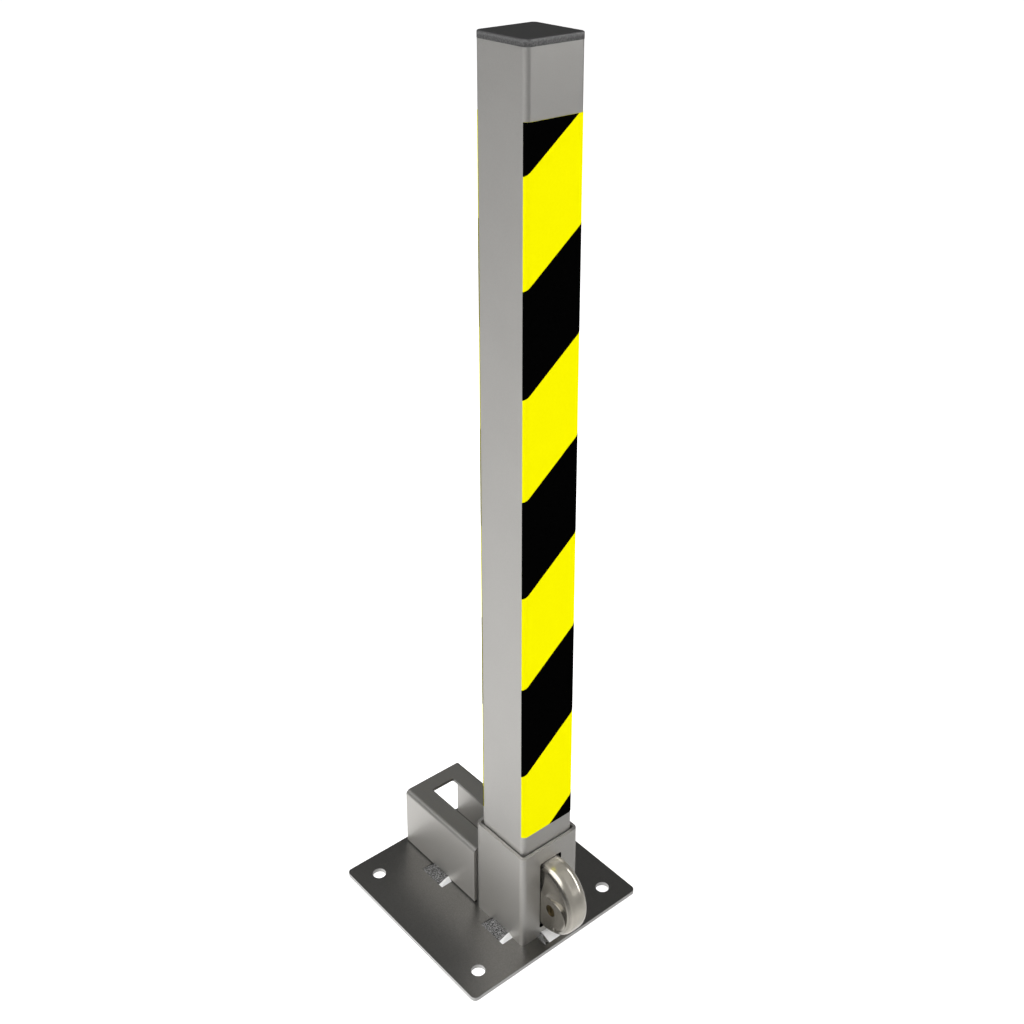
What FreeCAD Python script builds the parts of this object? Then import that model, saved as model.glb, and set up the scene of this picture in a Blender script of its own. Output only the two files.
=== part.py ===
import FreeCAD, Part
import math
import os

os.makedirs("parts", exist_ok=True)

Vector = FreeCAD.Vector

# Base plate: square sheet, corner rounding and four anchor holes set in from its edges
plate_side = 202.0
plate_t = 4.0
plate_corner_r = 5.0
anchor_d = 13.0
anchor_inset = 23.0

# Axis of the post: aside of the plate's centre, and behind its front edge
post_x = 4.0
post_setback = 51.0

# Post: square tube standing on the plate
post_w = 60.0
post_wall = 3.0
post_r = 5.0
post_len = 832.0

# Socket: square tube around the foot of the post
socket_play = 1.0
socket_wall = 3.0
socket_r = 5.0
socket_h = 100.0

# Rear channel: folded sheet that takes the post lying down
channel_wall = 3.0
channel_bend_r = 4.5
channel_play_z = 0.5
channel_gap = 3.0
channel_edge_gap = 5.0
channel_slot_front = 18.0
channel_slot_rear = 16.0

# Slots for the lock, and the share of the socket's solid height that lies under its slot
slot_play = 0.5
slot_side_play = 0.5
slot_r = 2.0
slot_foot_share = 0.36
post_slot_extra = 0.5

# Welds at the foot of the socket and the channel
weld_leg = 12.0
weld_h_share = 0.35
weld_lip = 1.5
weld_len = 32.0
weld_end_run = 5.0
socket_weld_y = -3.5
channel_weld_from_rear = 57.0

# Cross pin that the lock holds
pin_r = 3.0
pin_wall_gap = 1.0
pin_fit = 0.05
pin_inset = 0.3

# End cap: flange, hollow spigot and grip ribs
cap_flange_t = 6.0
cap_over = 0.2
cap_edge_r = 1.5
spigot_play = 0.5
spigot_len = 22.0
spigot_wall = 2.5
rib_play = 0.05
rib_t = 1.2
rib_count = 3

# Tape on the front and rear of the post, wrapped part way round the corners
tape_t = 0.3
tape_wrap_deg = 70.0
tape_foot = 120.0
tape_len = 657.0
band_t = 0.1
band_pitch = 91.4
band_slope = 0.78
band_first_drop = 18.0

# Lock: disc that goes through the slots, dished on one side round a raised boss
disc_r = 37.0
disc_t = 25.0
disc_edge_r = 8.5
disc_out = 4.0
dish_r0 = 6.0
dish_r1 = 32.0
dish_depth = 2.2
boss_r = 14.4
boss_edge_r = 0.8
boss_ahead = 5.2
boss_below = 2.2

# Key axis, barrel, plug and the shaft that carries the hook
key_out = 10.0
key_drop = 6.5
barrel_r = 5.6
barrel_fit = 0.05
barrel_inset = 0.8
plug_r = 4.2
plug_fit = 0.06
keyway_w = 1.2
keyway_h = 6.0
keyway_depth = 8.0
tang_side = 5.4
tang_fit = 0.1
tip_r = 2.6
tip_fit = 0.07
tip_len = 4.0
tip_end_gap = 0.4

# Hook: hub and jaw that swing round the key axis over the cross pin
hook_t = 6.0
hook_side_gap = 0.6
hook_hub_r = 8.0
hook_pin_gap = 0.4
hook_jaw = 2.8
hook_lead_deg = 6.0
hook_close_deg = 14.0
hook_travel_deg = 90.0
swing_gap = 0.8
swing_gap_deg = 2.0

# Values that follow from the ones above
socket_in = post_w + 2 * socket_play
socket_w = socket_in + 2 * socket_wall
channel_in_h = post_w + channel_play_z
channel_w = socket_in + 2 * channel_wall
channel_h = channel_in_h + channel_wall
channel_y = socket_w / 2 + channel_gap
channel_len = plate_side - post_setback - channel_y - channel_edge_gap
channel_slot_len = channel_len - channel_slot_front - channel_slot_rear
channel_weld_y = channel_y + channel_len - channel_weld_from_rear
anchor_pitch = plate_side - 2 * anchor_inset
post_y = post_setback - plate_side / 2
slot_w = disc_t + 2 * slot_side_play
slot_len = 2 * (disc_r + slot_play)
slot_foot = slot_foot_share * (socket_h - slot_len)
weld_h = weld_h_share * slot_foot
disc_y = -socket_w / 2 - disc_out
disc_z = slot_foot + slot_len / 2
key_y = disc_y - key_out
pin_z = disc_z - key_drop
boss_y = key_y - boss_ahead
boss_z = pin_z - boss_below
band_first = tape_foot + tape_len - band_first_drop
post_in = post_w - 2 * post_wall
pin_y = -post_in / 2 + pin_wall_gap + pin_r
pin_reach = pin_y - key_y
slot_top = slot_foot + slot_len
jaw_in_r = pin_reach - pin_r - hook_pin_gap
jaw_out_r = pin_reach + pin_r + hook_pin_gap
hook_r = jaw_out_r + hook_jaw
swing_r = hook_r + swing_gap
cavity_half = hook_t / 2 + hook_side_gap


# Upright bar centred on the Z axis with rounded vertical edges
def bar(width, depth, height, radius):
    block = Part.makeBox(width, depth, height, Vector(-width / 2, -depth / 2, 0))
    upright = [e for e in block.Edges if abs(e.tangentAt(e.FirstParameter).z) > 0.9]
    return block.makeFillet(radius, upright)


# Upright square tube centred on the Z axis
def tube(width, wall, height, radius):
    inner_r = max(radius - wall, 0.5)
    hollow = bar(width - 2 * wall, width - 2 * wall, height + 2, inner_r)
    hollow.translate(Vector(0, 0, -1))
    return bar(width, width, height, radius).cut(hollow)


# Slot cutter lying along Y, from y = 0 towards -Y, standing on z = 0
def slot_cutter(width, length, depth):
    block = bar(width, length, depth, slot_r)
    block.rotate(Vector(0, 0, 0), Vector(1, 0, 0), 90)
    block.translate(Vector(0, 0, length / 2))
    return block


# Round bar along X between two stations
def rod(radius, x0, x1, y, z):
    return Part.makeCylinder(radius, x1 - x0, Vector(x0, y, z), Vector(1, 0, 0))


# Wedge round the key axis between two angles, measured from +Y towards +Z
def wedge(deg0, deg1, half, reach):
    steps = 3
    points = [Vector(-half, key_y, pin_z)]
    for i in range(steps + 1):
        a = math.radians(deg0 + (deg1 - deg0) * i / steps)
        points.append(Vector(-half, key_y + reach * math.cos(a), pin_z + reach * math.sin(a)))
    face = Part.Face(Part.makePolygon(points + points[:1]))
    return face.extrude(Vector(2 * half, 0, 0))


# Pieces are drawn round the post axis on the plate top, then moved to their place
def placed(shape):
    moved = shape.removeSplitter()
    moved.translate(Vector(post_x, post_y, plate_t))
    return moved


# Square plate with four anchor holes, underside on z = 0
def base_plate():
    plate = bar(plate_side, plate_side, plate_t, plate_corner_r)
    for sx in (-1, 1):
        for sy in (-1, 1):
            at = Vector(sx * anchor_pitch / 2, sy * anchor_pitch / 2, -1)
            plate = plate.cut(Part.makeCylinder(anchor_d / 2, plate_t + 2, at))
    return plate


# Square tube with the lock slot in its front wall
def socket_tube():
    body = tube(socket_w, socket_wall, socket_h, socket_r)
    slot = slot_cutter(slot_w, slot_len, socket_wall + 4)
    slot.translate(Vector(0, -socket_in / 2 + 2, slot_foot))
    return placed(body.cut(slot))


# Block along Y standing on the plate, with its two upper edges rounded
def arch(width, height, length, radius):
    block = Part.makeBox(width, length, height, Vector(-width / 2, 0, 0))
    upper = []
    for e in block.Edges:
        along_y = abs(e.tangentAt(e.FirstParameter).y) > 0.9
        if along_y and e.BoundBox.ZMin > height / 2:
            upper.append(e)
    return block.makeFillet(radius, upper)


# Folded channel, open at both ends, with the lock slot in its roof
def rear_channel():
    hollow = arch(socket_in, channel_in_h, channel_len + 2, channel_bend_r - channel_wall)
    hollow.translate(Vector(0, -1, 0))
    body = arch(channel_w, channel_h, channel_len, channel_bend_r).cut(hollow)
    slot = bar(slot_w, channel_slot_len, channel_wall + 2, slot_r)
    slot.translate(Vector(0, channel_slot_front + channel_slot_len / 2, channel_in_h - 1))
    body = body.cut(slot)
    body.translate(Vector(0, channel_y, 0))
    return placed(body)


# Low weld against a wall that faces -X, centred on y = 0, hipped at both ends
def weld_bead(wall_x):
    inner = weld_leg - weld_lip
    far = weld_len - weld_end_run
    bead = Part.makeWedge(0, 0, 0, weld_end_run, inner, weld_leg, weld_h, weld_len, far, weld_leg)
    bead.rotate(Vector(0, 0, 0), Vector(1, 0, 0), 90)
    bead.translate(Vector(wall_x - weld_leg, weld_len / 2, 0))
    return bead


# One weld on each side of a wall pair, at one station along Y
def side_welds(wall_x, y):
    left = weld_bead(-wall_x)
    left.translate(Vector(0, y, 0))
    right = left.mirror(Vector(0, 0, 0), Vector(1, 0, 0))
    return Part.makeCompound([left, right])


# Welds at the two sides of the socket
def socket_side_welds():
    return side_welds(socket_w / 2, socket_weld_y)


# Weld under the lock slot at the front of the socket
def socket_front_weld():
    bead = weld_bead(-socket_w / 2)
    bead.rotate(Vector(0, 0, 0), Vector(0, 0, 1), 90)
    return bead


# Welds at the two sides of the channel
def channel_welds():
    return side_welds(channel_w / 2, channel_weld_y)


# Square tube, open slot at the front of its foot, holes for the cross pin
def post_tube():
    body = tube(post_w, post_wall, post_len, post_r)
    length = slot_top + post_slot_extra + 10
    slot = slot_cutter(slot_w, length, post_wall + 4)
    slot.translate(Vector(0, -post_in / 2 + 2, -10))
    holes = rod(pin_r + pin_fit, -post_w, post_w, pin_y, pin_z)
    return placed(body.cut(slot).cut(holes))


# Round pin across the inside of the post
def cross_pin():
    half = post_w / 2 - pin_inset
    return placed(rod(pin_r, -half, half, pin_y, pin_z))


# Flange on the end of the tube and a hollow ribbed spigot inside it
def end_cap():
    flange_w = post_w + 2 * cap_over
    flange = bar(flange_w, flange_w, cap_flange_t, post_r + cap_over)
    top = [e for e in flange.Edges if e.BoundBox.ZMin > cap_flange_t / 2]
    flange = flange.makeFillet(cap_edge_r, top)
    spigot_w = post_in - 2 * spigot_play
    spigot = tube(spigot_w, spigot_wall, spigot_len + 1, max(post_r - post_wall, 1))
    spigot.translate(Vector(0, 0, -spigot_len))
    cap = flange.fuse(spigot)
    rib_w = post_in - 2 * rib_play
    for i in range(rib_count):
        rib = tube(rib_w, spigot_play + spigot_wall / 2, rib_t, max(post_r - post_wall, 1))
        rib.translate(Vector(0, 0, -spigot_len * (i + 0.6) / rib_count))
        cap = cap.fuse(rib)
    cap.translate(Vector(0, 0, post_len))
    return placed(cap)


# Layer on the front of the post between two heights above its surface
def front_layer(low, high, foot, length):
    outer = bar(post_w + 2 * high, post_w + 2 * high, length, post_r + high)
    inner = bar(post_w + 2 * low, post_w + 2 * low, length, post_r + low)
    edge_y = -post_w / 2 + post_r - post_r * math.cos(math.radians(tape_wrap_deg))
    keep = Part.makeBox(2 * post_w, post_w, length, Vector(-post_w, edge_y - post_w, 0))
    layer = outer.cut(inner).common(keep)
    layer.translate(Vector(0, 0, foot))
    return layer


# Slanting block that rises towards +X, between two heights on the post axis
def slant(z0, z1):
    run = post_w
    rise = band_slope * run
    points = [
        Vector(-run, -run, z0 - rise),
        Vector(run, -run, z0 + rise),
        Vector(run, -run, z1 + rise),
        Vector(-run, -run, z1 - rise),
    ]
    face = Part.Face(Part.makePolygon(points + points[:1]))
    return face.extrude(Vector(0, run, 0))


# Dark bands over the front tape, every second field downwards from the first
def front_bands():
    layer = front_layer(tape_t, tape_t + band_t, tape_foot, tape_len)
    pieces = []
    low = band_first
    while low + band_pitch > tape_foot - band_slope * post_w:
        pieces.extend(layer.common(slant(low, low + band_pitch)).Solids)
        low = low - 2 * band_pitch
    return Part.makeCompound(pieces)


# Light film on the front of the post
def front_tape():
    return placed(front_layer(0, tape_t, tape_foot, tape_len))


# Turned half round the post axis
def turned(shape):
    copy = shape.copy()
    copy.rotate(Vector(0, 0, 0), Vector(0, 0, 1), 180)
    return copy


# Light film on the rear of the post
def rear_tape():
    return placed(turned(front_layer(0, tape_t, tape_foot, tape_len)))


# Dark bands on the rear film
def rear_bands():
    return turned(front_bands())


# Disc with rounded rims
def lock_disc():
    disc = rod(disc_r, -disc_t / 2, disc_t / 2, disc_y, disc_z)
    rims = [e for e in disc.Edges if len(e.Vertexes) == 1]
    return disc.makeFillet(disc_edge_r, rims)


# Shallow ring with an arc for its section, from the disc's face out to its rounded rim
def dish():
    face_x = -disc_t / 2
    middle = (dish_r0 + dish_r1) / 2
    past_flat = dish_r1 - (disc_r - disc_edge_r)
    rim_drop = disc_edge_r - math.sqrt(disc_edge_r ** 2 - past_flat ** 2)
    a = Vector(face_x, disc_y + dish_r0, disc_z)
    b = Vector(face_x + dish_depth, disc_y + middle, disc_z)
    c = Vector(face_x + rim_drop, disc_y + dish_r1, disc_z)
    back = Vector(-rim_drop - 1, 0, 0)
    sides = [
        Part.Arc(a, b, c).toShape(),
        Part.makeLine(c, c + back),
        Part.makeLine(c + back, Vector(face_x - 1, a.y, a.z)),
        Part.makeLine(Vector(face_x - 1, a.y, a.z), a),
    ]
    face = Part.Face(Part.Wire(sides))
    return face.revolve(Vector(0, disc_y, disc_z), Vector(1, 0, 0), 360)


# Raised boss round the key: a round nose that runs back into the disc's full thickness
def boss():
    face_x = -disc_t / 2
    nose = rod(boss_r, face_x, 0, boss_y, boss_z)
    run = 2 * disc_r
    back = Part.makeBox(-face_x, run, run, Vector(face_x, boss_y, boss_z + boss_r - run))
    raised = nose.fuse(back).removeSplitter()
    outer = [e for e in raised.Edges if e.BoundBox.XMax < face_x + 0.01]
    return raised.makeFillet(boss_edge_r, outer)


# Disc, dished, with the boss left standing
def lock_blank():
    disc = lock_disc()
    return disc.cut(dish()).fuse(disc.common(boss()))


# Room for the hook to swing, open to the rear
def swing_room():
    low = -hook_lead_deg - swing_gap_deg
    high = hook_travel_deg + hook_close_deg + swing_gap_deg
    room = rod(swing_r, -cavity_half, cavity_half, key_y, pin_z)
    room = room.common(wedge(low, high, cavity_half, 2 * swing_r))
    hub = rod(hook_hub_r + swing_gap, -cavity_half, cavity_half, key_y, pin_z)
    return room.fuse(hub)


# Lock body: blank, cleared behind the post wall above the pin's underside, bored for the barrel
def lock_body():
    body = lock_blank()
    floor_z = pin_z - pin_r - pin_wall_gap
    back_y = -post_in / 2
    clear = Part.makeBox(2 * disc_t, disc_r * 2, disc_r * 3, Vector(-disc_t, back_y, floor_z))
    body = body.cut(clear)
    body = body.cut(swing_room())
    body = body.cut(rod(barrel_r + barrel_fit, -disc_t, 0, key_y, pin_z))
    tip_end = cavity_half + tip_len + tip_end_gap
    body = body.cut(rod(tip_r + tip_fit, 0, tip_end, key_y, pin_z))
    return placed(body)


# Fixed ring round the plug
def lock_barrel():
    x0 = -disc_t / 2 + barrel_inset
    ring = rod(barrel_r, x0, -cavity_half, key_y, pin_z)
    return placed(ring.cut(rod(plug_r + plug_fit, x0 - 1, 0, key_y, pin_z)))


# Plug with a keyway, a square tang for the hook and a round tip
def key_plug():
    x0 = -disc_t / 2 + barrel_inset
    head = rod(plug_r, x0, -hook_t / 2, key_y, pin_z)
    tang_at = Vector(-hook_t / 2, key_y - tang_side / 2, pin_z - tang_side / 2)
    tang = Part.makeBox(hook_t, tang_side, tang_side, tang_at)
    tip = rod(tip_r, 0, cavity_half + tip_len, key_y, pin_z)
    keyway_at = Vector(x0 - 1, key_y - keyway_w / 2, pin_z - keyway_h / 2)
    keyway = Part.makeBox(keyway_depth + 1, keyway_w, keyway_h, keyway_at)
    return placed(head.fuse(tang).fuse(tip).cut(keyway))


# Hook drawn closed over the pin, then turned back to its open rest position
def hook_cam():
    half = hook_t / 2
    arm = rod(hook_r, -half, half, key_y, pin_z)
    arm = arm.common(wedge(-hook_lead_deg, hook_close_deg, half, 2 * hook_r))
    hook = arm.fuse(rod(hook_hub_r, -half, half, key_y, pin_z))
    ring = rod(jaw_out_r, -half, half, key_y, pin_z).cut(rod(jaw_in_r, -half, half, key_y, pin_z))
    mouth = ring.common(wedge(-2 * hook_lead_deg, 0, half, 2 * hook_r))
    hook = hook.cut(mouth).cut(rod(pin_r + hook_pin_gap, -half, half, pin_y, pin_z))
    side = tang_side + 2 * tang_fit
    square_at = Vector(-half, key_y - side / 2, pin_z - side / 2)
    hook = hook.cut(Part.makeBox(hook_t, side, side, square_at))
    hook.rotate(Vector(0, key_y, pin_z), Vector(1, 0, 0), hook_travel_deg)
    return placed(hook)


# Groups of loose solids are moved piece by piece
def placed_group(group):
    return Part.makeCompound([placed(s) for s in group.Solids])


nodes = {
    "base_plate": base_plate(),
    "socket_tube": socket_tube(),
    "rear_channel": rear_channel(),
    "socket_side_welds": placed_group(socket_side_welds()),
    "socket_front_weld": placed(socket_front_weld()),
    "channel_welds": placed_group(channel_welds()),
    "post_tube": post_tube(),
    "cross_pin": cross_pin(),
    "end_cap": end_cap(),
    "front_tape": front_tape(),
    "front_bands": placed_group(front_bands()),
    "rear_tape": rear_tape(),
    "rear_bands": placed_group(rear_bands()),
    "lock_body": lock_body(),
    "lock_barrel": lock_barrel(),
    "key_plug": key_plug(),
    "hook_cam": hook_cam(),
}

for name, shape in nodes.items():
    shape.exportStep("parts/" + name + ".step")
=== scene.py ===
import math

import bpy
from mathutils import Matrix, Vector


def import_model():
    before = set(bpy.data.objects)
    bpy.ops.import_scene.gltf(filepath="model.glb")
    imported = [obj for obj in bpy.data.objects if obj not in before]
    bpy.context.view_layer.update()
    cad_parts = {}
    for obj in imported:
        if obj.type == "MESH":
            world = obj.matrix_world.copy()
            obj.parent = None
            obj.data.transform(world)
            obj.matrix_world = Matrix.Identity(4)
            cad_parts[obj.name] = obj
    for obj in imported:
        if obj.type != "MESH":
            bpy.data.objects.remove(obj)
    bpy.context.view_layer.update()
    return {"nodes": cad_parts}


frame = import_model()
nodes = frame["nodes"]
scene = bpy.context.scene

UP = (0, 0, 1)
WHITE = (1, 1, 1, 1)

# Sockets of a Mix node that mixes colours, whose names stand for other types too
MIX_FACTOR, MIX_FIRST, MIX_SECOND, MIX_RESULT = 0, 6, 7, 2


# One shader socket, with arithmetic that adds Math nodes
class Value:
    def __init__(self, sheet, socket):
        self.sheet = sheet
        self.socket = socket

    def math(self, operation, first, second):
        return self.sheet.add("ShaderNodeMath", {"operation": operation}, {0: first, 1: second})

    def __add__(self, other):
        return self.math("ADD", self, other)

    def __radd__(self, other):
        return self.math("ADD", other, self)

    def __sub__(self, other):
        return self.math("SUBTRACT", self, other)

    def __rsub__(self, other):
        return self.math("SUBTRACT", other, self)

    def __mul__(self, other):
        return self.math("MULTIPLY", self, other)

    def __rmul__(self, other):
        return self.math("MULTIPLY", other, self)


# Node sheet of a material or a world, with one way to add a node
class Sheet:
    def __init__(self, owner, shader="Principled BSDF"):
        owner.use_nodes = True
        self.owner = owner
        self.tree = owner.node_tree
        self.shader = self.tree.nodes[shader]

    def add(self, kind, settings=None, inputs=None, output=0):
        made = self.tree.nodes.new(kind)
        for key, value in (settings or {}).items():
            setattr(made, key, value)
        for key, value in (inputs or {}).items():
            self.join(value, made.inputs[key])
        return Value(self, made.outputs[output])

    def join(self, value, socket):
        if isinstance(value, Value):
            self.tree.links.new(value.socket, socket)
        else:
            socket.default_value = value

    def place(self):
        return self.add("ShaderNodeTexCoord", output="Object")

    # Place along one of the axes X, Y and Z, in metres
    def along(self, axis):
        return self.add("ShaderNodeSeparateXYZ", None, {0: self.place()}, axis)

    def noise(self, scale, detail=2.0, roughness=0.5):
        names = {
            "Vector": self.place(),
            "Scale": scale,
            "Detail": detail,
            "Roughness": roughness,
        }
        return self.add("ShaderNodeTexNoise", None, names)

    def level(self, value, low, high, out_low=0.0, out_high=1.0):
        names = {
            "Value": value,
            "From Min": low,
            "From Max": high,
            "To Min": out_low,
            "To Max": out_high,
        }
        return self.add("ShaderNodeMapRange", {"clamp": True}, names)

    # Noise stretched from its usual span, 0.3 to 0.7, to the given one
    def spread(self, noise, out_low=0.0, out_high=1.0):
        return self.level(noise, 0.3, 0.7, out_low, out_high)

    # Mask that goes from 0 to 1 between two values
    def rise(self, value, start, end):
        return self.level(value, start, end)

    # Mask that goes from 1 to 0 between two values
    def fall(self, value, start, end):
        return self.level(value, start, end, 1.0, 0.0)

    # Mask that rises between one pair of values and falls between another
    def between(self, value, rise, fall):
        return self.rise(value, *rise) * self.fall(value, *fall)

    def mix(self, factor, first, second):
        ends = {MIX_FACTOR: factor, MIX_FIRST: first, MIX_SECOND: second}
        return self.add("ShaderNodeMix", {"data_type": "RGBA"}, ends, MIX_RESULT)

    def bump(self, height, strength, distance):
        names = {"Height": height, "Strength": strength, "Distance": distance}
        return self.add("ShaderNodeBump", None, names)

    # Fills the shader's sockets, named with _ for a space, and gives the material or world
    def finish(self, **sockets):
        for key, value in sockets.items():
            self.join(value, self.shader.inputs[key.replace("_", " ")])
        return self.owner


def material_sheet(name):
    return Sheet(bpy.data.materials.new(name))


# Grey of one brightness, a little yellow where warm is above 0
def grey(brightness, warm=0.0):
    return (brightness * (1 + warm), brightness, brightness * (1 - 2 * warm), 1.0)


# Bare zinc-grey steel with a faint mottle; shade(sheet) is a mask of painted shade, where it
# turns near black
def steel(name, dark, light, warm, metallic, shade=None):
    s = material_sheet(name)
    mottle = s.noise(900.0, detail=3.0, roughness=0.7)
    cloud = s.noise(14.0)
    tone = s.spread(mottle * 0.7 + cloud * 0.3)
    colour = s.mix(tone, grey(dark, warm), grey(light, warm))
    # Painted shade: near black mixed in where the shade mask is
    if shade:
        colour = s.mix(shade(s), colour, grey(0.015))
    return s.finish(
        Base_Color=colour,
        Metallic=metallic,
        Roughness=s.spread(mottle, 0.42, 0.52),
        Normal=s.bump(mottle, strength=0.25, distance=0.0002),
    )


# Painted shade: the cut walls of the lock slot in the socket's front turn near black, behind the
# front face, inside the slot's 26.7 mm of width, and under the tube's top rim
def slot_wall_painted_shade(s):
    in_wall = s.between(s.along("Y"), (-0.0838, -0.0836), (-0.0790, -0.0780))
    in_slot = s.between(s.along("X"), (-0.0094, -0.0093), (0.0173, 0.0174))
    under_rim = s.fall(s.along("Z"), 0.0950, 0.0955)
    return in_wall * in_slot * under_rim


# Painted shade: a contact shadow where the channel stands on the plate, and its roof darker than
# its sides
def foot_and_roof_painted_shade(s):
    height = s.along("Z")
    # Painted contact shadow along the channel's foot
    foot_shadow = s.level(height, 0.0052, 0.0066, out_low=0.85, out_high=0.0)
    # Painted shade over the roof
    roof_shade = s.level(height, 0.0635, 0.0665, out_low=0.0, out_high=0.5)
    return foot_shadow + roof_shade


# Dark steel sheet of the plate, with a fine grain and bare cut edges
def plate_steel():
    s = material_sheet("plate_steel")
    grain = s.noise(1400.0, roughness=0.6)
    cloud = s.noise(9.0)
    tone = s.level(grain * 0.75 + cloud * 0.25, 0.35, 0.65)
    face = s.mix(tone, grey(0.21, 0.02), grey(0.275, 0.02))
    cut = s.fall(s.along("Z"), 0.0036, 0.0039)
    return s.finish(
        Base_Color=s.mix(cut, face, grey(0.48, 0.01)),
        Metallic=s.level(cut, 0.0, 1.0, out_low=0.95, out_high=0.6),
        Roughness=0.34,
        Normal=s.bump(grain, strength=0.3, distance=0.0002),
    )


# Weld metal: dark and speckled, with a painted highlight, white from low to high along an axis
def weld_metal(name, axis, low, high):
    s = material_sheet(name)
    pits = s.noise(1300.0, detail=3.0, roughness=0.75)
    blur = 0.0002
    # Mask of the painted highlight: white between low and high along the axis
    ground = s.between(s.along(axis), (low - blur, low), (high, high + blur))
    speckled = s.mix(s.level(pits, 0.46, 0.60), grey(0.03), grey(0.55))
    return s.finish(
        Base_Color=s.mix(ground, speckled, grey(1.0)),
        Metallic=s.level(ground, 0.0, 1.0, out_low=0.9, out_high=0.0),
        Roughness=0.35,
        Normal=s.bump(pits * (1.0 - ground), strength=0.6, distance=0.0004),
    )


# Moulded dark plastic of the cap, scuffed lighter on its side; the band round its rounded rim is
# partly scuffs and partly a painted highlight
def cap_plastic():
    s = material_sheet("cap_plastic")
    grain = s.noise(1600.0, roughness=0.6)
    plain = s.mix(s.spread(grain), grey(0.04), grey(0.055))
    height = s.along("Z")
    scuffs = s.level(s.noise(650.0, detail=3.0, roughness=0.7), 0.45, 0.58)
    side = s.fall(height, 0.8405, 0.8415) * scuffs
    # Lighter band round the rounded rim: partly scuffs, partly a painted highlight
    rim = s.between(height, (0.8385, 0.8400), (0.8408, 0.8418))
    return s.finish(
        Base_Color=s.mix(side * 0.3 + rim * 0.25, plain, grey(0.22)),
        Roughness=0.38,
        Normal=s.bump(grain, strength=0.3, distance=0.0002),
    )


# Printed film, slightly uneven and without gloss
def film(name, dark, light):
    s = material_sheet(name)
    print_noise = s.noise(500.0)
    return s.finish(
        Base_Color=s.mix(s.spread(print_noise), dark, light),
        Roughness=0.5,
        Specular_IOR_Level=0.0,
        Normal=s.bump(print_noise, strength=0.05, distance=0.0001),
    )


# Turned steel of the lock: lighter in colour round its rim, darker on the key's side
def lock_steel():
    s = material_sheet("lock_steel")
    smear = s.noise(60.0, detail=3.0, roughness=0.6)
    fine = s.noise(1500.0)
    tone = s.spread(smear)
    lighter_rim_tone = s.mix(tone, grey(0.50, 0.06), grey(0.58, 0.06))
    darker_side_tone = s.mix(tone, grey(0.29, 0.06), grey(0.34, 0.06))
    rim = s.rise(s.along("X"), -0.0066, -0.0045)
    return s.finish(
        Base_Color=s.mix(rim, darker_side_tone, lighter_rim_tone),
        Metallic=s.level(rim, 0.0, 1.0, out_low=0.88, out_high=0.6),
        Roughness=s.spread(smear, 0.16, 0.22),
        Normal=s.bump(fine, strength=0.05, distance=0.0001),
    )


# Dull brass of the key plug and its barrel
def key_brass():
    s = material_sheet("plug_brass")
    smear = s.noise(300.0, detail=3.0, roughness=0.6)
    dark, light = (0.07, 0.05, 0.015, 1), (0.12, 0.085, 0.03, 1)
    return s.finish(
        Base_Color=s.mix(s.spread(smear), dark, light),
        Metallic=0.9,
        Roughness=0.4,
        Normal=s.bump(smear, strength=0.1, distance=0.0002),
    )


finishes = {
    "base_plate": plate_steel(),
    "post_tube": steel("post_steel", dark=0.51, light=0.58, warm=0.02, metallic=0.87),
    "socket_tube": steel(
        "socket_steel", dark=0.52, light=0.60, warm=0.025, metallic=0.87, shade=slot_wall_painted_shade
    ),
    "rear_channel": steel(
        "channel_steel", dark=0.56, light=0.64, warm=0.025, metallic=0.83, shade=foot_and_roof_painted_shade
    ),
    "end_cap": cap_plastic(),
    "front_tape": film("yellow_film", dark=(0.83, 0.785, 0.0, 1), light=(0.85, 0.805, 0.001, 1)),
    "front_bands": film("black_film", dark=grey(0.0005), light=grey(0.001)),
    "lock_body": lock_steel(),
    "key_plug": key_brass(),
    "socket_side_welds": weld_metal("side_weld", "Y", low=-0.072, high=-0.0648),
    "channel_welds": weld_metal("channel_weld", "Y", low=0.020, high=0.0278),
    "socket_front_weld": weld_metal("front_weld", "X", low=-0.0070, high=0.03),
}
finishes["rear_tape"] = finishes["front_tape"]
finishes["rear_bands"] = finishes["front_bands"]
finishes["lock_barrel"] = finishes["key_plug"]
finishes["cross_pin"] = finishes["lock_body"]
finishes["hook_cam"] = finishes["lock_body"]


def paint(obj, material):
    obj.data.materials.clear()
    obj.data.materials.append(material)


for node_name, node_finish in finishes.items():
    paint(nodes[node_name], node_finish)


# Plain pale floor just under the plate, bright enough to read as white
def floor():
    bpy.ops.mesh.primitive_plane_add(size=30.0, location=(0, 0, -0.0002))
    white = material_sheet("floor_white").finish(
        Base_Color=grey(0.9),
        Roughness=0.9,
        Emission_Color=WHITE,
        Emission_Strength=0.85,
    )
    ground = bpy.context.object
    ground.name = "floor"
    ground.visible_glossy = False
    paint(ground, white)


# White shell that hides the horizon, seen by the camera alone
def backdrop():
    bpy.ops.mesh.primitive_ico_sphere_add(subdivisions=4, radius=14.0, location=(0, 0, 0))
    white = material_sheet("backdrop_white").finish(
        Base_Color=grey(0.0),
        Roughness=1.0,
        Emission_Color=WHITE,
        Emission_Strength=1.0,
    )
    shell = bpy.context.object
    shell.name = "backdrop"
    shell.visible_diffuse = shell.visible_glossy = shell.visible_shadow = False
    paint(shell, white)


# Rotation whose third axis is given and whose second axis runs along another direction
def facing(out, along):
    z = Vector(out).normalized()
    y = (Vector(along) - z * z.dot(Vector(along))).normalized()
    return Matrix((y.cross(z), y, z)).transposed().to_4x4()


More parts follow.
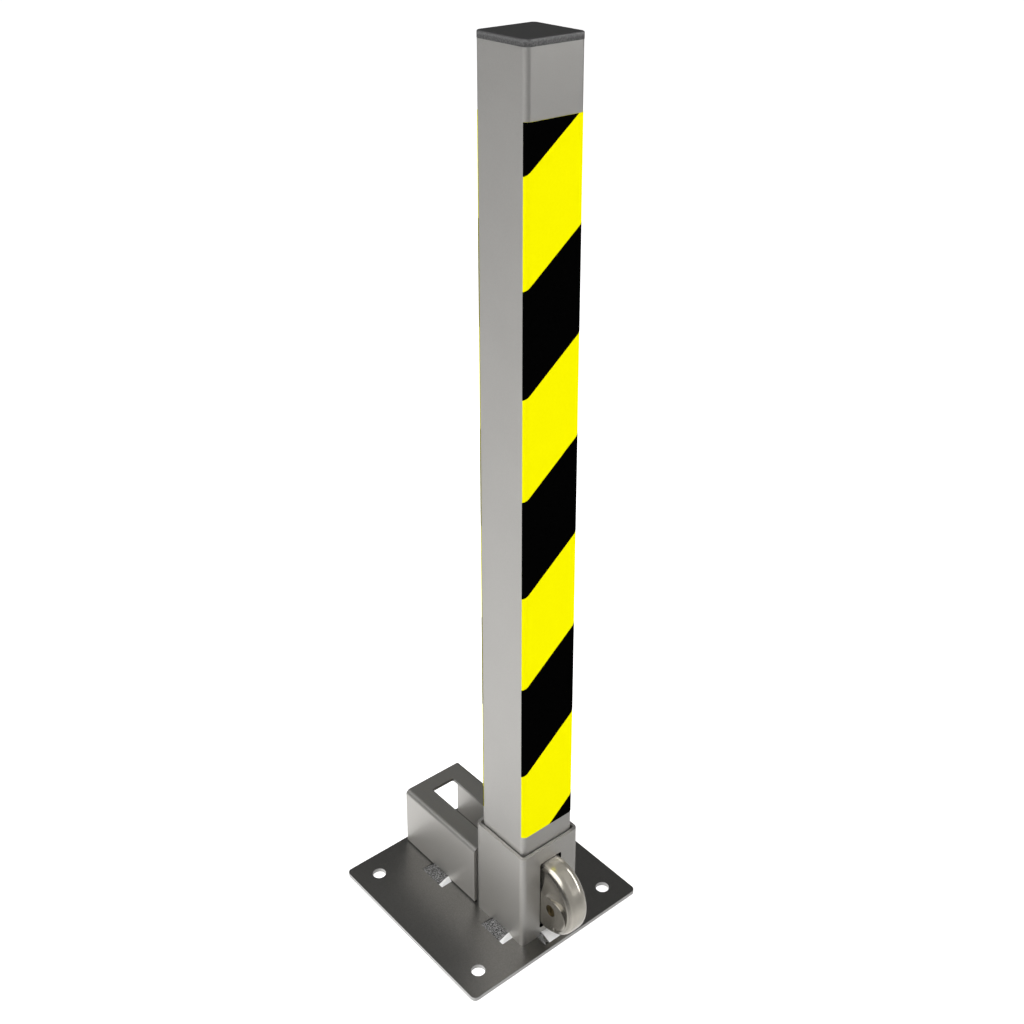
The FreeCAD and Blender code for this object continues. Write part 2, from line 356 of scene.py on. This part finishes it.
# Rectangular lamp aimed at a target: its second size runs along the given direction, and
# glossy surfaces show it only where it is mirrored
def area_light(name, place, target, along, size, energy, mirrored=False):
    data = bpy.data.lights.new(name, "AREA")
    data.shape = "RECTANGLE"
    data.size, data.size_y = size
    data.energy = energy
    light = bpy.data.objects.new(name, data)
    light.visible_glossy = mirrored
    scene.collection.objects.link(light)
    out = Vector(place) - Vector(target)
    light.matrix_world = Matrix.Translation(place) @ facing(out, along)


# Surroundings: bright low down at the left, dimmer at the right, dark overhead
def world():
    s = Sheet(bpy.data.worlds.new("studio"), "Background")
    way = s.add("ShaderNodeTexCoord", output="Generated")
    to_left = (-0.65, 0.76, 0)
    dot = {"operation": "DOT_PRODUCT"}
    left = s.add("ShaderNodeVectorMath", dot, {0: way, 1: to_left}, "Value")
    up = s.add("ShaderNodeSeparateXYZ", None, {0: way}, "Z")
    side = s.level(left, -0.5, 0.7, out_low=0.5, out_high=1.35)
    low = side * s.level(up, -0.72, -0.1, out_low=1.0, out_high=0.12)
    low_share = s.fall(up, -0.2, 0.1)
    high = s.level(left + up * 3.0, 2.15, 2.45, out_low=0.03, out_high=0.29)
    scene.world = s.finish(Color=WHITE, Strength=high + low_share * (low - high))
    scene.view_settings.view_transform = "Standard"


# Camera where the photograph was taken from, solved from its edges
def camera():
    azimuth, elevation = math.radians(-40.26), math.radians(20.55)
    back = (
        math.sin(azimuth) * math.cos(elevation),
        -math.cos(azimuth) * math.cos(elevation),
        math.sin(elevation),
    )
    data = bpy.data.cameras.new("camera")
    data.sensor_width = 36.0
    data.lens = 48.008
    data.shift_y = -0.2036
    data.clip_start, data.clip_end = 0.01, 100
    cam = bpy.data.objects.new("camera", data)
    cam.matrix_world = Matrix.Translation((-0.6689, -0.8233, 1.0083)) @ facing(back, UP)
    scene.collection.objects.link(cam)
    scene.camera = cam


floor()
backdrop()
world()
foot = (0, -0.1, 0.07)
area_light(
    "front_soft",
    place=(0.6, -2.2, 1.2),
    target=(0, 0, 0.4),
    along=UP,
    size=(1.6, 1.6),
    energy=9,
)
area_light(
    "left_panel",
    place=(-2.48, 0.02, 3.23),
    target=foot,
    along=UP,
    size=(4.4, 3.4),
    energy=122,
    mirrored=True,
)
area_light(
    "right_strip",
    place=(2.74, -1.86, 2.1),
    target=foot,
    along=(0, -0.8, -0.6),
    size=(1.0, 4.0),
    energy=56,
    mirrored=True,
)
camera()
